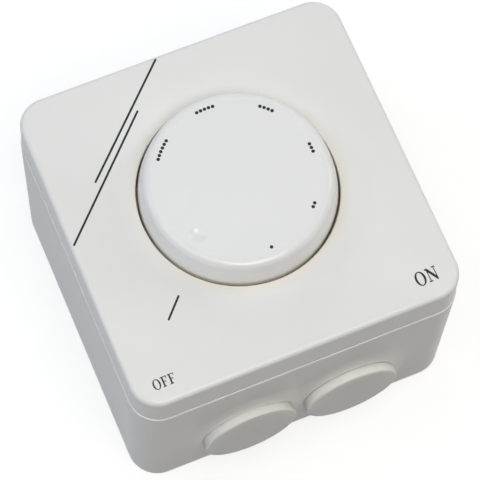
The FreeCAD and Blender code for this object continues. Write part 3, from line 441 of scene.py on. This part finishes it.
def speed_dots(work):
    for group in range(DOT_GROUPS):
        middle = FIRST_GROUP_DEG + GROUP_STEP_DEG * group
        for index in range(group + 1):
            angle = math.radians(middle + DOT_PITCH_DEG * (index - group / 2))
            x = DOTS_X + DOT_CIRCLE * math.cos(angle)
            y = DOTS_Y + DOT_CIRCLE * math.sin(angle)
            printed_patch(work, disc(x, y, DOT_RADIUS), knob_surface)


def cover_lines(work):
    for start, end in COVER_LINES:
        printed_patch(work, stroke(start, end, LINE_WIDTH), COVER_TOP)


# Letters in units of their height: how far the pen moves on, bars as x0, y0, x1, y1, and outlines
BAR = 0.08
LETTERS = {
    "F": (
        0.70,
        [
            (0.13, BAR, 0.28, 1 - BAR),
            (0.03, 0.0, 0.38, BAR),
            (0.03, 1 - BAR, 0.62, 1.0),
            (0.56, 0.74, 0.62, 1 - BAR),
            (0.28, 0.49, 0.46, 0.49 + BAR),
            (0.42, 0.38, 0.47, 0.49),
        ],
        [],
    ),
    "N": (
        0.84,
        [
            (0.13, BAR, 0.19, 0.80),
            (0.03, 0.0, 0.29, BAR),
            (0.64, 0.24, 0.70, 1 - BAR),
            (0.54, 1 - BAR, 0.80, 1.0),
        ],
        [
            [
                (0.02, 1.0),
                (0.22, 1.0),
                (0.70, 0.20),
                (0.70, 0.0),
                (0.62, 0.0),
                (0.10, 0.87),
                (0.02, 0.95),
            ]
        ],
    ),
}
# The letter O: how far the pen moves on, its centre, and half sizes of its outside and its hole
ROUND_LETTER = (0.84, 0.40, 0.50, 0.37, 0.53, 0.22, 0.46)
ROUND_STEPS = 40


def printed_ring(work, inner, outer, z):
    """A flat loop of ink between two outlines with the same number of points."""
    count = len(outer)
    rows = []
    for outline, height in ((inner, z - INK_THICKNESS), (outer, z - INK_THICKNESS)):
        rows.append([work.verts.new((x, y, height)) for x, y in outline])
    for outline, height in ((outer, z + INK_THICKNESS), (inner, z + INK_THICKNESS)):
        rows.append([work.verts.new((x, y, height)) for x, y in outline])
    for row, beyond in zip(rows, rows[1:] + rows[:1]):
        for index in range(count):
            after = (index + 1) % count
            work.faces.new((row[index], row[after], beyond[after], beyond[index]))


def lettering(text, corner, height, slant_deg):
    """Builder of a word that starts at a corner and runs up a slight slope."""
    turn = math.radians(slant_deg)

    def build(work):
        pen = 0.0

        def put(points):
            placed = []
            for x, y in points:
                x, y = (pen + x) * height, y * height
                placed.append(
                    (
                        corner[0] + x * math.cos(turn) - y * math.sin(turn),
                        corner[1] + x * math.sin(turn) + y * math.cos(turn),
                    )
                )
            return placed

        for letter in text:
            if letter == "O":
                advance, cx, cy, rx, ry, hole_x, hole_y = ROUND_LETTER
                unit = disc(0.0, 0.0, 1.0, ROUND_STEPS)
                outer = put([(cx + rx * x, cy + ry * y) for x, y in unit])
                inner = put([(cx + hole_x * x, cy + hole_y * y) for x, y in unit])
                printed_ring(work, inner, outer, COVER_TOP)
            else:
                advance, bars, outlines = LETTERS[letter]
                for x0, y0, x1, y1 in bars:
                    printed_patch(work, put([(x0, y0), (x1, y0), (x1, y1), (x0, y1)]), COVER_TOP)
                for outline in outlines:
                    printed_patch(work, put(outline), COVER_TOP)
            pen += advance

    return build


# Lamps aim at the middle of the part: name, place, sides, watts, colour, and if gloss shows them
AIM = (0.0, 0.0, 0.04)
LAMPS = (
    ("overhead", (-0.1044, 0.1808, 1.5254), (1.0, 1.0), 1.6, (0.82, 0.92, 1.0), True),
    ("front_high", (-0.0213, -0.6097, 1.4103), (0.8, 0.8), 11.0, (1.0, 0.97, 0.83), True),
    ("left_high", (-0.7038, 0.0246, 1.3644), (0.8, 0.8), 4.0, (0.80, 0.88, 1.0), True),
    ("back_left", (-1.0769, 0.6218, 0.8788), (0.13, 0.13), 1.5, (0.80, 0.88, 1.0), True),
    ("right", (1.2241, 0.1071, 0.9004), (0.13, 0.13), 1.3, (1.0, 1.0, 0.97), True),
    ("back_low", (0.1263, 1.4434, 0.4282), (0.8, 0.6), 5.5, (0.92, 0.97, 1.0), False),
    ("right_low", (1.448, 0.0506, 0.4282), (0.8, 0.6), 5.0, (0.98, 0.98, 1.0), False),
    ("left_low", (-1.4269, -0.2516, 0.4282), (0.8, 0.6), 2.2, (0.85, 0.92, 1.0), False),
)
WORLD_COLOUR = (0.88, 0.87, 1.0, 1.0)
WORLD_STRENGTH = 0.18


def lights():
    for name, place, sides, watts, colour, mirrored in LAMPS:
        data = bpy.data.lights.new(name, "AREA")
        data.shape = "RECTANGLE"
        data.size, data.size_y = sides
        data.energy = watts
        data.color = colour
        lamp = bpy.data.objects.new(name, data)
        bpy.context.scene.collection.objects.link(lamp)
        lamp.location = place
        lamp.visible_glossy = mirrored
        aim = Vector(AIM) - Vector(place)
        lamp.rotation_mode = "QUATERNION"
        lamp.rotation_quaternion = aim.to_track_quat("-Z", "Y")


def surroundings():
    world = bpy.data.worlds.new("studio")
    world.use_nodes = True
    tree = world.node_tree
    tree.nodes.clear()
    background = tree.nodes.new("ShaderNodeBackground")
    background.inputs["Color"].default_value = WORLD_COLOUR
    background.inputs["Strength"].default_value = WORLD_STRENGTH
    output = tree.nodes.new("ShaderNodeOutputWorld")
    tree.links.new(background.outputs["Background"], output.inputs["Surface"])
    bpy.context.scene.world = world


def floor():
    mesh = bpy.data.meshes.new("floor")
    half = FLOOR_HALF
    corners = [(-half, -half, 0.0), (half, -half, 0.0), (half, half, 0.0), (-half, half, 0.0)]
    mesh.from_pydata(corners, [], [(0, 1, 2, 3)])
    mesh.materials.append(floor_material())
    ground = bpy.data.objects.new("floor", mesh)
    bpy.context.scene.collection.objects.link(ground)
    ground.location.z = -FLOOR_GAP


# Light goes a little way into the soft plastic of the plugs
SOFT_PLASTIC = {
    "Subsurface_Weight": 0.8,
    "Subsurface_Radius": (1.0, 0.95, 0.85),
    "Subsurface_Scale": 0.003,
}

FINISHES = {
    "base_plastic": moulded("base_plastic", (0.80, 0.79, 0.775), 0.42),
    # Cover and knob carry painted warm shade deep in the dial well and round its mouth
    "cover_plastic": moulded("cover_plastic", (0.80, 0.795, 0.785), 0.38, well=COVER_WELL_PAINTED_SHADE),
    "knob_plastic": moulded(
        "knob_plastic", (0.82, 0.817, 0.815), 0.21, 0.000005, well=KNOB_WELL_PAINTED_SHADE
    ),
    "plug_plastic": moulded(
        "plug_plastic", (0.92, 0.895, 0.84), 0.48, spread=0.03, **SOFT_PLASTIC
    ),
    "gasket_rubber": moulded("gasket_rubber", (0.035, 0.035, 0.036), 0.75, 0.00004, 0.15),
    "seal_rubber": moulded("seal_rubber", (0.05, 0.05, 0.05), 0.7, 0.00004, 0.15),
    "zinc_screw": metal("zinc_screw", (0.62, 0.63, 0.65), 0.3),
    "spring_steel": metal("spring_steel", (0.50, 0.51, 0.53), 0.25, (1.0, 1.0, 0.1)),
    "board_laminate": laminate("board_laminate", (0.36, 0.24, 0.08)),
    "pot_can": moulded("pot_can", (0.03, 0.03, 0.032), 0.5, 0.00003, 0.12),
    "bushing_brass": metal("bushing_brass", (0.66, 0.52, 0.27), 0.28, (1.0, 1.0, 12.0), 400.0),
    "washer_steel": metal("washer_steel", (0.56, 0.57, 0.59), 0.35),
    "shaft_steel": metal("shaft_steel", (0.66, 0.67, 0.69), 0.26, (0.3, 0.3, 14.0), 400.0),
    "wiper_bronze": metal("wiper_bronze", (0.62, 0.38, 0.18), 0.3),
    "track_laminate": moulded("track_laminate", (0.06, 0.05, 0.045), 0.5, 0.00002, 0.12),
    "tinned_pin": metal("tinned_pin", (0.68, 0.68, 0.67), 0.35),
    "switch_case": moulded("switch_case", (0.07, 0.07, 0.075), 0.5, 0.00003, 0.1),
    "bracket_aluminium": metal(
        "bracket_aluminium", (0.72, 0.73, 0.75), 0.36, (14.0, 0.6, 14.0), 60.0, 0.05
    ),
    "triac_epoxy": moulded("triac_epoxy", (0.022, 0.022, 0.024), 0.55, 0.00004, 0.15),
    "triac_copper": metal("triac_copper", (0.66, 0.65, 0.64), 0.32),
    "ferrite": moulded("ferrite", (0.46, 0.42, 0.07), 0.45, 0.00005, 0.12),
    "enamel_wire": metal("enamel_wire", (0.55, 0.20, 0.07), 0.2),
    "film_box": moulded("film_box", (0.56, 0.40, 0.05), 0.25, 0.00001, 0.06),
    "timing_box": moulded("timing_box", (0.36, 0.04, 0.025), 0.22, 0.00001, 0.08),
    "resistor_lacquer": moulded("resistor_lacquer", (0.16, 0.30, 0.44), 0.25, 0.00003, 0.1),
    "lead_wire": metal("lead_wire", (0.66, 0.66, 0.65), 0.3),
    "diac_glass": moulded("diac_glass", (0.02, 0.05, 0.25), 0.15, 0.00001, 0.1),
    "fuse_glass": clear_glass("fuse_glass"),
    "fuse_cap": metal("fuse_cap", (0.70, 0.68, 0.64), 0.22),
    "clip_brass": metal("clip_brass", (0.70, 0.60, 0.38), 0.3),
    "trimmer_case": moulded("trimmer_case", (0.02, 0.07, 0.26), 0.4, 0.00002, 0.08),
    "trimmer_dial": moulded("trimmer_dial", (0.72, 0.70, 0.64), 0.45, 0.00002, 0.04),
    "terminal_plastic": moulded("terminal_plastic", (0.03, 0.16, 0.06), 0.42, 0.00003, 0.08),
    "clamp_steel": metal("clamp_steel", (0.60, 0.57, 0.50), 0.35),
}


def dress_nodes():
    """Every carried solid gets the finish of its slot in the record."""
    slots = {part["node"]: part["material_slot"] for part in frame["record"]["subparts"]}
    for name, solid in nodes.items():
        finish = FINISHES[slots[name]]
        solid.data.materials.clear()
        solid.data.materials.append(finish)


bpy.context.scene.view_settings.view_transform = "Standard"
camera()
dress_nodes()
print_ink = ink("print_ink")
new_mesh("knob_rim", knob_rim, FINISHES["knob_plastic"], "dial")
new_mesh("speed_dots", speed_dots, print_ink, "dial")
new_mesh("cover_lines", cover_lines, print_ink, "housing")
new_mesh("off_mark", lettering("OFF", *OFF_WORD), print_ink, "housing")
new_mesh("on_mark", lettering("ON", *ON_WORD), print_ink, "housing")
lights()
surroundings()
floor()
